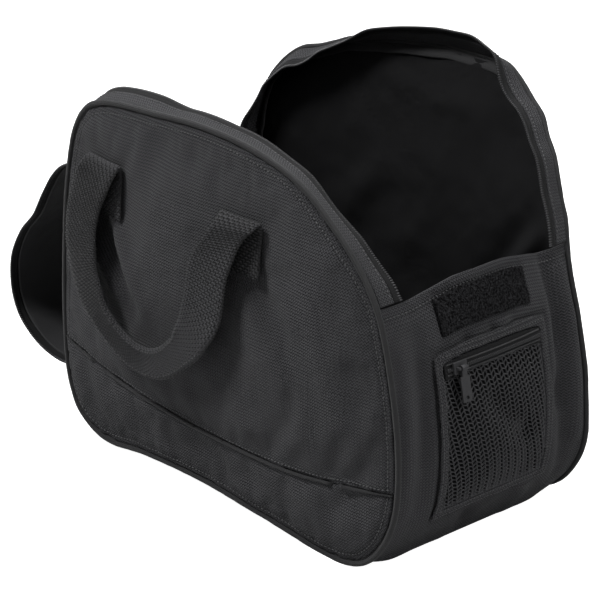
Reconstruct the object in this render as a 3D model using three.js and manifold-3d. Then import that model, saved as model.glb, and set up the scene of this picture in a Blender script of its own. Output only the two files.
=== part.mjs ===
// A motorcycle helmet bag of black cloth, standing open on its flat base.
// Two padded D-shaped panels are joined by one gusset strip that runs down the hinge end, across the
// base and up the pocket end. Bands with zip halves follow the rest of the panels' edges, and the lid
// strip that the zips would close is thrown back over the hinge end.
// Millimetres. X runs along the bag towards the pocket end, the front panel faces -Y and Z points up.
// The origin is the middle of the flat underside.
import * as THREE from 'three';
import { mergeVertices } from 'three/addons/utils/BufferGeometryUtils.js';
import Module from 'manifold-3d';

const wasm = await Module();
wasm.setup();

// Driving dimensions
const LENGTH = 394;
const HEIGHT = 308;
const DEPTH = 205;
const GAP = 0.3;
const SEAT = 0.7;
const PANEL_WALL = 5;
const PANEL_CROWN = 15;
const PIPING_RADIUS = 2.5;
const GUSSET_WALL = 3;
const END_BULGE = 4;
const BASE_DROP = 15;
const BULGE_RUN = 25;
const HEM_RISE = 7;
const HEM_RUN = 40;
const RISE_RUN = 150;
const BAND_WIDTH = 14;
const BAND_WALL = 2;
const ZIP_WIDTH = 8;
const ZIP_TAPE = 1;
const ZIP_TEETH = 3;
const BACK_LEAN = 50;
const LID_REACH = 109;
const LID_WALL = 3;
const TAB_LENGTH = 48;
const TAB_WIDTH = 110;
const WEBBING_WIDTH = 42;
const WEBBING_WALL = 2.2;
const HANDLE_MIDDLE = -42;
const HANDLE_SPREAD = 164;
const HANDLE_TOP = 254;
const HANDLE_DROP = 141;
const HANDLE_OFF = 16;
const PATCH_WIDTH = 96;
const PATCH_HEIGHT = 28;
const PATCH_WALL = 1.8;
const PATCH_BELOW_HEM = 8;
const POCKET_ASIDE = -3.5;
const POCKET_WIDTH = 122;
const POCKET_HEIGHT = 130;
const POCKET_BELOW_HEM = 46;
const BINDING_WIDTH = 8;
const BINDING_WALL = 2;
const NET_WALL = 1;
const NET_BULGE = 5;
const POCKET_ZIP_WIDTH = 12;
const SLIDER_LENGTH = 13;
const SLIDER_WIDTH = 9;
const SLIDER_WALL = 2.4;
const BRIDGE_RADIUS = 1;
const BRIDGE_CLEARANCE = 0.35;
const EYE_WALL = 1;
const EYE_WIDTH = 5;
const PULL_LENGTH = 26;
const PULL_WIDTH = 9;
const PULL_WALL = 1.6;
const PULL_HOLE = 1.6;
const MAIN_SLIDER_LENGTH = 14;
const MAIN_SLIDER_WIDTH = 10;
const MAIN_SLIDER_WALL = 3;

// The panels' outline: shares of half the length and of the height, from the hem of the pocket end
// down, along the base, up the hinge end to the lid's hinge, and back over the top.
const PANEL_EDGE = [
  { at: 'hem', x: 0.878, z: 0.706 },
  { at: 'pocket_end', x: 0.965, z: 0.513 },
  { at: 'pocket_end', x: 1.0, z: 0.321 },
  { at: 'pocket_corner', x: 0.975, z: 0.173 },
  { at: 'pocket_corner', x: 0.874, z: 0.061 },
  { at: 'base', x: 0.738, z: 0.0115 },
  { at: 'base', x: 0.25, z: 0.022 },
  { at: 'base', x: -0.12, z: 0.036 },
  { at: 'base', x: -0.48, z: 0.03 },
  { at: 'base', x: -0.763, z: 0.014 },
  { at: 'hinge_corner', x: -0.919, z: 0.064 },
  { at: 'hinge_corner', x: -0.985, z: 0.16 },
  { at: 'hinge_end', x: -1.0, z: 0.337 },
  { at: 'hinge_end', x: -0.985, z: 0.526 },
  { at: 'hinge', x: -0.958, z: 0.69 },
  { at: 'top_corner', x: -0.889, z: 0.865 },
  { at: 'top_corner', x: -0.798, z: 0.939 },
  { at: 'top_corner', x: -0.662, z: 0.968 },
  { at: 'top', x: -0.4, z: 0.984 },
  { at: 'top', x: -0.1, z: 0.998 },
  { at: 'top', x: 0.214, z: 0.987 },
  { at: 'slope', x: 0.461, z: 0.946 },
  { at: 'slope', x: 0.657, z: 0.865 },
  { at: 'slope', x: 0.788, z: 0.788 },
];

// The back panel hangs looser than the front one: how far its edge stands out from the outline, and
// how far it comes in towards the front, in mm, by the direction from the panel's middle in degrees.
const BACK_EDGE = [
  { aim: -180, out: 0, near: 0 },
  { aim: -30, out: 0, near: 0 },
  { aim: -14, out: -3.5, near: 2 },
  { aim: 0, out: -3.5, near: 5 },
  { aim: 18, out: -5, near: 8 },
  { aim: 30, out: -1.5, near: 7 },
  { aim: 45, out: 5.5, near: 4 },
  { aim: 58, out: 12, near: 1 },
  { aim: 73, out: 24, near: 0 },
  { aim: 88, out: 20, near: 0 },
  { aim: 102, out: 15.5, near: 0 },
  { aim: 118, out: 13, near: 0 },
  { aim: 133, out: 0, near: 0 },
  { aim: 141, out: -4, near: 0 },
  { aim: 150, out: 0, near: 0 },
  { aim: 180, out: 0, near: 0 },
];

// How far the bands turn from lying across the bag to standing up, in degrees, along the opening.
const FRONT_TURN = [
  { along: 0, turn: 0 },
  { along: 0.1, turn: 14 },
  { along: 0.2, turn: 16 },
  { along: 0.32, turn: 13 },
  { along: 0.42, turn: 0 },
  { along: 0.56, turn: -6 },
  { along: 0.7, turn: -16 },
  { along: 0.8, turn: -26 },
  { along: 0.9, turn: -16 },
  { along: 1, turn: 0 },
];
const BACK_TURN = [
  { along: 0, turn: 0 },
  { along: 0.1, turn: -28 },
  { along: 0.24, turn: -28 },
  { along: 0.34, turn: -5 },
  { along: 0.43, turn: 36 },
  { along: 0.5, turn: 48 },
  { along: 0.59, turn: 52 },
  { along: 0.64, turn: 40 },
  { along: 0.7, turn: 6 },
  { along: 0.85, turn: 14 },
  { along: 1, turn: 14 },
];

// The seam of the lower front panel: shares of half the length and of the height.
const SEAM = [
  { x: -1.1, z: 0.275 },
  { x: -0.6, z: 0.23 },
  { x: -0.1, z: 0.2 },
  { x: 0.4, z: 0.205 },
  { x: 0.8, z: 0.235 },
  { x: 1.1, z: 0.265 },
];

// The lid's path from its hinge: shares of the reach beyond the hinge end and of the hinge's height.
const LID_PATH = [
  { at: 'root', out: -0.07, up: 1.008 },
  { at: 'crest', out: -0.02, up: 1.03 },
  { at: 'crest', out: 0.1, up: 1.035 },
  { at: 'fall', out: 0.28, up: 1.005 },
  { at: 'fall', out: 0.41, up: 0.95 },
  { at: 'fall', out: 0.55, up: 0.85 },
  { at: 'kink', out: 0.69, up: 0.735 },
  { at: 'curl', out: 0.8, up: 0.68 },
  { at: 'curl', out: 0.91, up: 0.6 },
  { at: 'curl', out: 0.985, up: 0.51 },
  { at: 'curl', out: 0.99, up: 0.38 },
  { at: 'curl', out: 0.91, up: 0.285 },
  { at: 'curl', out: 0.76, up: 0.22 },
  { at: 'curl', out: 0.57, up: 0.18 },
  { at: 'tuck', out: 0.33, up: 0.17 },
  { at: 'tuck', out: 0.18, up: 0.2 },
  { at: 'tuck', out: 0.11, up: 0.29 },
  { at: 'tuck', out: 0.105, up: 0.5 },
  { at: 'tuck', out: 0.1, up: 0.78 },
  { at: 'end', out: 0.17, up: 0.88 },
  { at: 'end', out: 0.27, up: 0.85 },
  { at: 'end', out: 0.31, up: 0.74 },
];

// A handle from one sewn end to the other: shares of half the spread, the drop and the stand-off,
// the strap's width as a share of the webbing, its wall in webbings, and its turn in degrees.
const HANDLE_PATH = [
  { at: 'sewn', across: -1, down: 0.3, off: 0, width: 1, walls: 1, turn: 0 },
  { at: 'sewn', across: -1, down: 0.15, off: 0, width: 1, walls: 1, turn: 0 },
  { at: 'sewn', across: -1, down: 0.03, off: 0.02, width: 1, walls: 1, turn: 0 },
  { at: 'fold', across: -1, down: -0.005, off: 0.2, width: 1, walls: 1, turn: 0 },
  { at: 'fold', across: -1.01, down: 0.03, off: 0.42, width: 1, walls: 1, turn: -4 },
  { at: 'strand', across: -1.1, down: 0.134, off: 0.55, width: 1, walls: 1, turn: -12 },
  { at: 'strand', across: -1.2, down: 0.315, off: 0.7, width: 1, walls: 1, turn: 0 },
  { at: 'strand', across: -1.19, down: 0.517, off: 0.85, width: 1, walls: 1, turn: 12 },
  { at: 'strand', across: -1.03, down: 0.711, off: 1, width: 0.85, walls: 1.4, turn: 35 },
  { at: 'grip', across: -0.75, down: 0.879, off: 1, width: 0.52, walls: 2.4, turn: 52 },
  { at: 'grip', across: -0.295, down: 0.985, off: 1, width: 0.5, walls: 2.4, turn: 80 },
  { at: 'grip', across: 0.066, down: 0.966, off: 1, width: 0.5, walls: 2.4, turn: 104 },
  { at: 'grip', across: 0.367, down: 0.852, off: 1, width: 0.54, walls: 2.4, turn: 128 },
  { at: 'strand', across: 0.572, down: 0.711, off: 1, width: 0.78, walls: 1.4, turn: 150 },
  { at: 'strand', across: 0.693, down: 0.537, off: 0.85, width: 1, walls: 1, turn: 170 },
  { at: 'strand', across: 0.727, down: 0.315, off: 0.7, width: 1, walls: 1, turn: 179 },
  { at: 'strand', across: 0.86, down: 0.134, off: 0.55, width: 1, walls: 1, turn: 190 },
  { at: 'fold', across: 0.99, down: 0.03, off: 0.42, width: 1, walls: 1, turn: 184 },
  { at: 'fold', across: 1, down: -0.005, off: 0.2, width: 1, walls: 1, turn: 180 },
  { at: 'sewn', across: 1, down: 0.03, off: 0.02, width: 1, walls: 1, turn: 180 },
  { at: 'sewn', across: 1, down: 0.15, off: 0, width: 1, walls: 1, turn: 180 },
  { at: 'sewn', across: 1, down: 0.3, off: 0, width: 1, walls: 1, turn: 180 },
];

const cloth = { color: 0x232325, roughness: 0.9, metalness: 0 };
const lidCloth = { color: 0x161617, roughness: 0.75, metalness: 0 };
const webbing = { color: 0x1c1c1e, roughness: 0.8, metalness: 0 };
const zipTape = { color: 0x151516, roughness: 0.85, metalness: 0 };
const trim = { color: 0x1e1e20, roughness: 0.7, metalness: 0 };
const hookAndLoop = { color: 0x101011, roughness: 1, metalness: 0 };
const net = { color: 0x29292b, roughness: 0.85, metalness: 0 };
const blackMetal = { color: 0x1a1a1b, roughness: 0.4, metalness: 0.8 };

const bag = new THREE.Group();

function add(name, geometry, look) {
  const mesh = new THREE.Mesh(geometry, new THREE.MeshStandardMaterial(look));
  mesh.name = name;
  bag.add(mesh);
}

// Values between the rows of a table, for one of its columns
function between(rows, key, column, at) {
  let i = 0;
  while (i < rows.length - 2 && rows[i + 1][key] < at) i += 1;
  const share = (at - rows[i][key]) / (rows[i + 1][key] - rows[i][key]);
  const smooth = THREE.MathUtils.smoothstep(share, 0, 1);
  return THREE.MathUtils.lerp(rows[i][column], rows[i + 1][column], smooth);
}

// Closed bodies from three.js shapes: the seams are merged, flat triangles go and faces point out
function closed(geometry) {
  geometry.deleteAttribute('normal');
  geometry.deleteAttribute('uv');
  const merged = mergeVertices(geometry, 1e-4);
  const points = merged.getAttribute('position');
  const corners = [...merged.index.array];
  let kept = [];
  let volume = 0;
  for (let i = 0; i < corners.length; i += 3) {
    const [a, b, c] = corners.slice(i, i + 3);
    if (a !== b && b !== c && c !== a) {
      kept.push(a, b, c);
      const [p, q, r] = [a, b, c].map((n) => new THREE.Vector3().fromBufferAttribute(points, n));
      volume += p.dot(q.cross(r));
    }
  }
  if (volume < 0) kept = kept.reverse();
  merged.setIndex(kept);
  return merged;
}

function bend(geometry, place) {
  const points = geometry.getAttribute('position');
  const point = new THREE.Vector3();
  for (let i = 0; i < points.count; i += 1) {
    point.fromBufferAttribute(points, i);
    points.setXYZ(i, ...place(point));
  }
  return closed(geometry);
}

// A sheet with a wall: a box whose length and width follow place(u, v), the sheet's middle
function sheet(steps, across, place, wall) {
  const STEP = 1e-3;
  return bend(new THREE.BoxGeometry(1, 1, 1, steps, across, 1), (corner) => {
    const u = corner.x + 0.5;
    const v = corner.y + 0.5;
    const middle = place(u, v);
    const run = place(Math.min(u + STEP, 1), v).sub(place(Math.max(u - STEP, 0), v));
    const side = place(u, Math.min(v + STEP, 1)).sub(place(u, Math.max(v - STEP, 0)));
    const normal = run.cross(side).normalize();
    const thick = typeof wall === 'number' ? wall : wall(u, v);
    return middle.addScaledVector(normal, corner.z * thick);
  });
}

// A closed ring: a torus whose turn goes to u and whose section goes to an angle
function ring(steps, sides, place) {
  const WHOLE = 2 * Math.PI;
  return bend(new THREE.TorusGeometry(2, 1, sides, steps), (corner) => {
    const turn = Math.atan2(corner.y, corner.x);
    const section = Math.atan2(corner.z, Math.hypot(corner.x, corner.y) - 2);
    return place((turn / WHOLE + 1) % 1, section);
  });
}

function solid(geometry) {
  return new wasm.Manifold(new wasm.Mesh({
    numProp: 3,
    vertProperties: new Float32Array(geometry.getAttribute('position').array),
    triVerts: new Uint32Array(geometry.index.array),
  }));
}

function fromSolid(body) {
  const mesh = body.getMesh();
  const geometry = new THREE.BufferGeometry();
  geometry.setAttribute('position', new THREE.BufferAttribute(mesh.vertProperties, 3));
  geometry.setIndex(new THREE.BufferAttribute(mesh.triVerts, 1));
  return geometry;
}

// The outline as a closed curve, measured along its length from the hem
const outline = new THREE.CatmullRomCurve3(
  PANEL_EDGE.map((row) => new THREE.Vector3((row.x * LENGTH) / 2, 0, row.z * HEIGHT)),
  true,
  'centripetal',
);
const STEPS_PER_ROW = 25;
outline.arcLengthDivisions = PANEL_EDGE.length * STEPS_PER_ROW;
const lengths = outline.getLengths();
const outlineLength = lengths[lengths.length - 1];
const hingeRow = PANEL_EDGE.findIndex((row) => row.at === 'hinge');
const hingeAt = lengths[hingeRow * STEPS_PER_ROW] / outlineLength;

function outward(share) {
  const along = outline.getTangentAt(((share % 1) + 1) % 1);
  return new THREE.Vector3(-along.z, 0, along.x).normalize();
}

function edgePoint(share, out, y) {
  const point = outline.getPointAt(((share % 1) + 1) % 1).addScaledVector(outward(share), out);
  point.y = y;
  return point;
}

const panelMiddle = new THREE.Vector3(0, 0, HEIGHT / 2);
const RIM_IN = PIPING_RADIUS + GAP;

// How far a place on a panel is from its middle, as a share of the way to the rim
const AIM_STEPS = 240;
const rims = Array.from({ length: AIM_STEPS }, (_, i) => {
  const offset = edgePoint(i / AIM_STEPS, -RIM_IN, 0).sub(panelMiddle);
  return { aim: Math.atan2(offset.z, offset.x), radius: offset.length() };
});
rims.sort((a, b) => a.aim - b.aim);
rims.unshift({ ...rims[AIM_STEPS - 1], aim: rims[AIM_STEPS - 1].aim - 2 * Math.PI });
rims.push({ ...rims[1], aim: rims[1].aim + 2 * Math.PI });

function rimShare(x, z) {
  const aim = Math.atan2(z - panelMiddle.z, x);
  const next = rims.findIndex((rim) => rim.aim > aim);
  const [a, b] = [rims[next - 1], rims[next]];
  const radius = THREE.MathUtils.mapLinear(aim, a.aim, b.aim, a.radius, b.radius);
  return Math.hypot(x, z - panelMiddle.z) / radius;
}

// The back panel's upper half leans out of the bag, most over its middle and least at the hinge.
// The lean fades to nothing at the front panel: share is 1 at the back and 0 in front.
const LEAN_FROM = 0.55;
const LEAN_AT_HINGE = 0.15;

function lean(point, share) {
  const run = (1 - LEAN_FROM) * HEIGHT;
  const rise = Math.max(0, point.z / HEIGHT - LEAN_FROM) / (1 - LEAN_FROM);
  const along = THREE.MathUtils.smoothstep(point.x / LENGTH, -0.45, 0.1);
  const out = BACK_LEAN * rise * rise * THREE.MathUtils.lerp(LEAN_AT_HINGE, 1, along) * Math.max(0, share);
  const aim = Math.atan2(point.z - HEIGHT / 2, point.x);
  const edge = rimShare(point.x, point.z) ** 2 * Math.max(0, share);
  const full = edge * between(BACK_EDGE, 'aim', 'out', THREE.MathUtils.radToDeg(aim));
  const near = edge * between(BACK_EDGE, 'aim', 'near', THREE.MathUtils.radToDeg(aim));
  point.x += full * Math.cos(aim);
  point.y += out - near;
  point.z += full * Math.sin(aim) - (out * out) / (2 * run);
  return point;
}

// Panels: round shapes stretched to the outline, with side -1 in front and 1 at the back
const RIM_STEPS = 70;
const PANEL_SECTION = [
  { from: 0, side: 1 },
  { from: 0.3, side: 1 },
  { from: 0.5, side: 1 },
  { from: 0.66, side: 1 },
  { from: 0.8, side: 1 },
  { from: 0.92, side: 1 },
  { from: 1, side: 0.7 },
  { from: 1, side: -0.7 },
  { from: 0.92, side: -1 },
  { from: 0.75, side: -1 },
  { from: 0.5, side: -1 },
  { from: 0, side: -1 },
];

function crown(share) {
  return PANEL_CROWN * (1 - share * share);
}

function panel(side) {
  const profile = PANEL_SECTION.map((row) => new THREE.Vector2(row.from, row.side));
  return bend(new THREE.LatheGeometry(profile, RIM_STEPS), (corner) => {
    const share = Math.hypot(corner.x, corner.z);
    const turn = (Math.atan2(corner.x, corner.z) / (2 * Math.PI) + 1) % 1;
    const rim = edgePoint(turn, -RIM_IN, 0);
    const point = panelMiddle.clone().lerp(rim, share);
    point.y = side * (DEPTH / 2 + crown(share) + (corner.y * PANEL_WALL) / 2);
    return lean(point, side);
  });
}

// A place on a panel's outer face, or off it along the face's own normal
function panelFace(side, x, z) {
  const y = side * (DEPTH / 2 + crown(rimShare(x, z)) + PANEL_WALL / 2);
  return lean(new THREE.Vector3(x, y, z), side);
}

function onPanel(side, x, z, off) {
  const NEAR = 2;
  const run = panelFace(side, x + NEAR, z).sub(panelFace(side, x - NEAR, z));
  const rise = panelFace(side, x, z + NEAR).sub(panelFace(side, x, z - NEAR));
  const normal = run.cross(rise).normalize();
  return panelFace(side, x, z).addScaledVector(normal, -side * off);
}

// The lower front panel meets the upper one along the seam
function belowSeam(shift) {
  const line = new THREE.SplineCurve(
    SEAM.map((row) => new THREE.Vector2((row.x * LENGTH) / 2, row.z * HEIGHT + shift)),
  );
  const SEAM_STEPS = 30;
  const shape = new THREE.Shape([
    new THREE.Vector2(-LENGTH, -HEIGHT),
    new THREE.Vector2(-LENGTH, SEAM[0].z * HEIGHT + shift),
    ...line.getPoints(SEAM_STEPS),
    new THREE.Vector2(LENGTH, SEAM[SEAM.length - 1].z * HEIGHT + shift),
    new THREE.Vector2(LENGTH, -HEIGHT),
  ]);
  const block = new THREE.ExtrudeGeometry(shape, { depth: 2 * DEPTH, bevelEnabled: false });
  block.rotateX(Math.PI / 2);
  return solid(closed(block));
}

const wholeFront = solid(panel(-1));
add('front_panel', fromSolid(wholeFront.subtract(belowSeam(GAP / 2))), cloth);
add('front_lower_panel', fromSolid(wholeFront.intersect(belowSeam(-GAP / 2))), cloth);
add('back_panel', panel(1), cloth);

// Piping: a corded edge all round each panel
function piping(side) {
  const PIPING_SIDES = 5;
  return ring(RIM_STEPS, PIPING_SIDES, (share, section) => {
    const out = PIPING_RADIUS * Math.cos(section);
    const across = PIPING_RADIUS * Math.sin(section);
    return lean(edgePoint(share, out, side * (DEPTH / 2) + across), side);
  });
}
add('front_piping', piping(-1), trim);
add('back_piping', piping(1), trim);

// Gusset: bulges a little at the ends, sags flat onto the ground along the base and rises a little in
// the middle of its hem
const GUSSET_HALF = DEPTH / 2 - PIPING_RADIUS - GAP;

function gussetSkin(share, y, off) {
  const normal = outward(share);
  const down = Math.max(0, -normal.z);
  const belowHem = share * outlineLength;
  const end = END_BULGE * (1 - down) * THREE.MathUtils.smoothstep(belowHem, 0, HEM_RUN);
  const full = end + BASE_DROP * down ** 8;
  const inside = THREE.MathUtils.smoothstep(GUSSET_HALF - Math.abs(y), 0, BULGE_RUN);
  const point = edgePoint(share, full * inside + off, y);
  const past = THREE.MathUtils.smoothstep(GUSSET_HALF - Math.abs(y), BULGE_RUN, 3 * BULGE_RUN);
  point.z += HEM_RISE * past * (1 - THREE.MathUtils.smoothstep(belowHem, 0, RISE_RUN));
  point.z = Math.max(point.z, -off);
  return lean(point, y / GUSSET_HALF);
}

const GUSSET_STEPS = 40;
const GUSSET_ACROSS = 8;
add('gusset', sheet(GUSSET_STEPS, GUSSET_ACROSS, (u, v) => {
  const y = (2 * v - 1) * GUSSET_HALF;
  return gussetSkin(u * hingeAt, y, -GUSSET_WALL / 2);
}, GUSSET_WALL), cloth);

// Bands and zip halves along the opening, from the hinge over the top to the hem
const END_IN = 1.5;
const OPENING_STEPS = 32;

function openingPoint(side, along, from) {
  const start = hingeAt + END_IN / outlineLength;
  const share = THREE.MathUtils.lerp(start, 1 - END_IN / outlineLength, along);
  const rows = side < 0 ? FRONT_TURN : BACK_TURN;
  const turn = THREE.MathUtils.degToRad(between(rows, 'along', 'turn', along));
  const point = lean(edgePoint(share, 0, (side * DEPTH) / 2), side);
  point.addScaledVector(outward(share), Math.sin(turn) * from);
  point.y -= side * Math.cos(turn) * from;
  return point;
}

const BAND_FROM = PIPING_RADIUS + GAP;
const ZIP_FROM = BAND_FROM + BAND_WIDTH + GAP;
const TEETH_FROM = 0.6;
const ZIP_ACROSS = 3;

function zipWall(share) {
  return share > TEETH_FROM ? ZIP_TEETH : ZIP_TAPE;
}

for (const [name, side] of [['front', -1], ['back', 1]]) {
  const band = (u, v) => openingPoint(side, u, BAND_FROM + v * BAND_WIDTH);
  const zip = (u, v) => openingPoint(side, u, ZIP_FROM + v * ZIP_WIDTH);
  add(`${name}_band`, sheet(OPENING_STEPS, 1, band, BAND_WALL), cloth);
  add(`${name}_zip`, sheet(OPENING_STEPS, ZIP_ACROSS, zip, (u, v) => zipWall(v)), zipTape);
}

// Lid: a padded strip as wide as the opening between the zips, thrown back over the hinge end
const hingeHeight = PANEL_EDGE[hingeRow].z * HEIGHT;
const lidCurve = new THREE.CatmullRomCurve3(
  LID_PATH.map((row) => new THREE.Vector3(-LENGTH / 2 - row.out * LID_REACH, 0, row.up * hingeHeight)),
  false,
  'centripetal',
);
const lidHalf = DEPTH / 2 - ZIP_FROM - 2 * ZIP_WIDTH - GAP;
const LID_STEPS = 40;

function lidPoint(along, y) {
  const point = lidCurve.getPointAt(along);
  point.y = y;
  return point;
}

const tabShare = TAB_LENGTH / lidCurve.getLength();
const stripEnd = 1 - tabShare;
const cutShare = GAP / lidCurve.getLength();
add('lid', sheet(LID_STEPS, 1, (u, v) => lidPoint(u * stripEnd, (2 * v - 1) * lidHalf), LID_WALL), lidCloth);
add('lid_tab', sheet(8, 1, (u, v) => {
  const along = THREE.MathUtils.lerp(stripEnd + cutShare, 1, u);
  return lidPoint(along, ((2 * v - 1) * TAB_WIDTH) / 2);
}, LID_WALL), lidCloth);

for (const [name, side] of [['front', -1], ['back', 1]]) {
  const zip = (u, v) => lidPoint(u * stripEnd, side * (lidHalf + GAP + v * ZIP_WIDTH));
  add(`lid_${name}_zip`, sheet(LID_STEPS, ZIP_ACROSS, zip, (u, v) => zipWall(v)), zipTape);
}

// Hook patch inside the lid's tab, and its loop patch below the hem of the pocket end
const lidSide = (LID_WALL + PATCH_WALL) / 2 + SEAT;
const tabInset = (TAB_LENGTH - PATCH_HEIGHT) / 2 / lidCurve.getLength();
add('hook_patch', sheet(8, 1, (u, v) => {
  const along = THREE.MathUtils.lerp(stripEnd + tabInset, 1 - tabInset, u);
  const tangent = lidCurve.getTangentAt(along);
  const face = new THREE.Vector3(tangent.z, 0, -tangent.x);
  return lidPoint(along, ((2 * v - 1) * PATCH_WIDTH) / 2).addScaledVector(face, lidSide);
}, PATCH_WALL), hookAndLoop);

function onEnd(below, y, off) {
  return gussetSkin(below / outlineLength, POCKET_ASIDE + y, off);
}

add('loop_patch', sheet(2, 8, (u, v) => {
  const below = PATCH_BELOW_HEM + u * PATCH_HEIGHT;
  return onEnd(below, ((2 * v - 1) * PATCH_WIDTH) / 2, SEAT + PATCH_WALL / 2);
}, PATCH_WALL), hookAndLoop);

// Pocket on the end: a bound frame, a zip under its top edge and a net that bellies out a little
const pocketMiddle = POCKET_BELOW_HEM + POCKET_HEIGHT / 2;
const SIDE_STEPS = 8;

function square(share) {
  const side = Math.floor(share * 4) % 4;
  const along = (share * 4 - side) * 2 - 1;
  return [[1, along], [-along, 1], [-1, -along], [along, -1]][side];
}

add('pocket_binding', ring(4 * SIDE_STEPS, 4, (share, section) => {
  const corner = section + Math.PI / 4;
  const out = Math.cos(corner) > 0 ? 0 : -BINDING_WIDTH;
  const off = Math.sin(corner) > 0 ? BINDING_WALL : 0;
  const [y, z] = square(share);
  const halfWidth = POCKET_WIDTH / 2 + out;
  const halfHeight = POCKET_HEIGHT / 2 + out;
  return onEnd(pocketMiddle - z * halfHeight, y * halfWidth, SEAT + off);
}), trim);

const zipTop = POCKET_BELOW_HEM + BINDING_WIDTH + GAP;
const netTop = zipTop + POCKET_ZIP_WIDTH + GAP;
const netBottom = POCKET_BELOW_HEM + POCKET_HEIGHT - BINDING_WIDTH - GAP;
const innerHalf = POCKET_WIDTH / 2 - BINDING_WIDTH - GAP;
const TEETH_HALF = 0.2;

add('pocket_zip', sheet(5, 10, (u, v) => {
  return onEnd(zipTop + u * POCKET_ZIP_WIDTH, (2 * v - 1) * innerHalf, SEAT + ZIP_TEETH / 2);
}, (u) => (Math.abs(u - 0.5) < TEETH_HALF ? ZIP_TEETH : ZIP_TAPE)), zipTape);

add('pocket_net', sheet(7, 7, (u, v) => {
  const belly = NET_BULGE * 16 * u * (1 - u) * v * (1 - v);
  const below = THREE.MathUtils.lerp(netTop, netBottom, u);
  return onEnd(below, (2 * v - 1) * innerHalf, SEAT + NET_WALL / 2 + belly);
}, NET_WALL), net);

// Pocket slider with a bridge bar, and the pull that swings on it, set on the end's own slope
const sliderY = -innerHalf + SLIDER_LENGTH;
const sliderBelow = zipTop + POCKET_ZIP_WIDTH / 2;
const eyeRadius = BRIDGE_RADIUS + BRIDGE_CLEARANCE + EYE_WALL;
const bridgeUp = SLIDER_WALL + eyeRadius + GAP;

function onSlope(geometry) {
  const top = onEnd(sliderBelow, sliderY, 0);
  const normal = outward(sliderBelow / outlineLength);
  geometry.translate(SEAT + GAP + ZIP_TEETH, 0, 0);
  geometry.rotateY(-Math.atan2(normal.z, normal.x));
  return geometry.translate(top.x, top.y, top.z);
}

function block(x, y, z, sizeX, sizeY, sizeZ) {
  return solid(closed(new THREE.BoxGeometry(sizeX, sizeY, sizeZ).translate(x, y, z)));
}

function barAlongY(radius, length, x, z) {
  const BAR_SIDES = 16;
  return solid(closed(new THREE.CylinderGeometry(radius, radius, length, BAR_SIDES).translate(x, 0, z)));
}

const postY = EYE_WIDTH / 2 + GAP + BRIDGE_RADIUS;
let slider = block(SLIDER_WALL / 2, 0, 0, SLIDER_WALL, SLIDER_LENGTH, SLIDER_WIDTH);
for (const y of [-postY, postY]) {
  const tall = bridgeUp + BRIDGE_RADIUS;
  slider = slider.add(block(tall / 2, y, 0, tall, 2 * BRIDGE_RADIUS, 2 * BRIDGE_RADIUS));
}
slider = slider.add(barAlongY(BRIDGE_RADIUS, 2 * postY, bridgeUp, 0));
add('pocket_slider', onSlope(fromSolid(slider)), blackMetal);

let pull = barAlongY(eyeRadius, EYE_WIDTH, bridgeUp, 0);
const neck = PULL_LENGTH / 4;
pull = pull.add(block(bridgeUp, 0, -neck / 2, PULL_WALL, EYE_WIDTH, neck));
pull = pull.add(block(bridgeUp, 0, -(neck + PULL_LENGTH) / 2, PULL_WALL, PULL_WIDTH, PULL_LENGTH - neck));
pull = pull.subtract(barAlongY(BRIDGE_RADIUS + BRIDGE_CLEARANCE, 2 * EYE_WIDTH, bridgeUp, 0));
const holeCut = new THREE.CylinderGeometry(PULL_HOLE, PULL_HOLE, 4 * PULL_WALL, 12);
holeCut.rotateZ(Math.PI / 2);
holeCut.translate(bridgeUp, 0, -PULL_LENGTH + 2 * PULL_HOLE);
pull = pull.subtract(solid(closed(holeCut)));
add('pocket_pull', onSlope(fromSolid(pull)), blackMetal);

// Main sliders: parked at the hinge, one at the end of each zip, each a plain body with its tab
for (const [name, side] of [['front', -1], ['back', 1]]) {
  const y = side * (lidHalf + GAP + ZIP_WIDTH);
  const below = MAIN_SLIDER_LENGTH / 2 + END_IN;
  const share = hingeAt - below / outlineLength;
  const spot = gussetSkin(share, y, SEAT + MAIN_SLIDER_WALL / 2);
  const normal = outward(share);
  const body = new THREE.BoxGeometry(MAIN_SLIDER_WALL, MAIN_SLIDER_WIDTH, MAIN_SLIDER_LENGTH);
  body.rotateY(-Math.atan2(normal.z, normal.x));
  add(`main_slider_${name}`, closed(body.translate(spot.x, spot.y, spot.z)), blackMetal);
}

// Handles: webbing sewn to a panel at two ends, folded over at the top and hanging in a loop,
// with the grip folded in half along its length
const handleCurve = new THREE.CatmullRomCurve3(
  HANDLE_PATH.map((row) => new THREE.Vector3(
    HANDLE_MIDDLE + (row.across * HANDLE_SPREAD) / 2,
    row.off * HANDLE_OFF,
    HANDLE_TOP - row.down * HANDLE_DROP,
  )),
  false,
  'centripetal',
);
const handleRows = HANDLE_PATH.map((row, i) => ({ ...row, place: i / (HANDLE_PATH.length - 1) }));
const HANDLE_STEPS = 48;

function handle(side) {
  const webbingMiddle = SEAT + WEBBING_WALL / 2;
  return sheet(HANDLE_STEPS, 2, (u, v) => {
    const spot = handleCurve.getPoint(u);
    const turn = THREE.MathUtils.degToRad(between(handleRows, 'place', 'turn', u));
    const reach = (v - 0.5) * WEBBING_WIDTH * between(handleRows, 'place', 'width', u);
    const x = spot.x + reach * Math.cos(turn);
    const z = spot.z + reach * Math.sin(turn);
    return onPanel(side, x, z, webbingMiddle + spot.y);
  }, (u) => WEBBING_WALL * between(handleRows, 'place', 'walls', u));
}
add('front_handle', handle(-1), webbing);
add('back_handle', handle(1), webbing);

export default bag;
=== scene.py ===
import math

import bmesh
import bpy
from mathutils import Matrix, Vector, bvhtree, kdtree, noise


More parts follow.
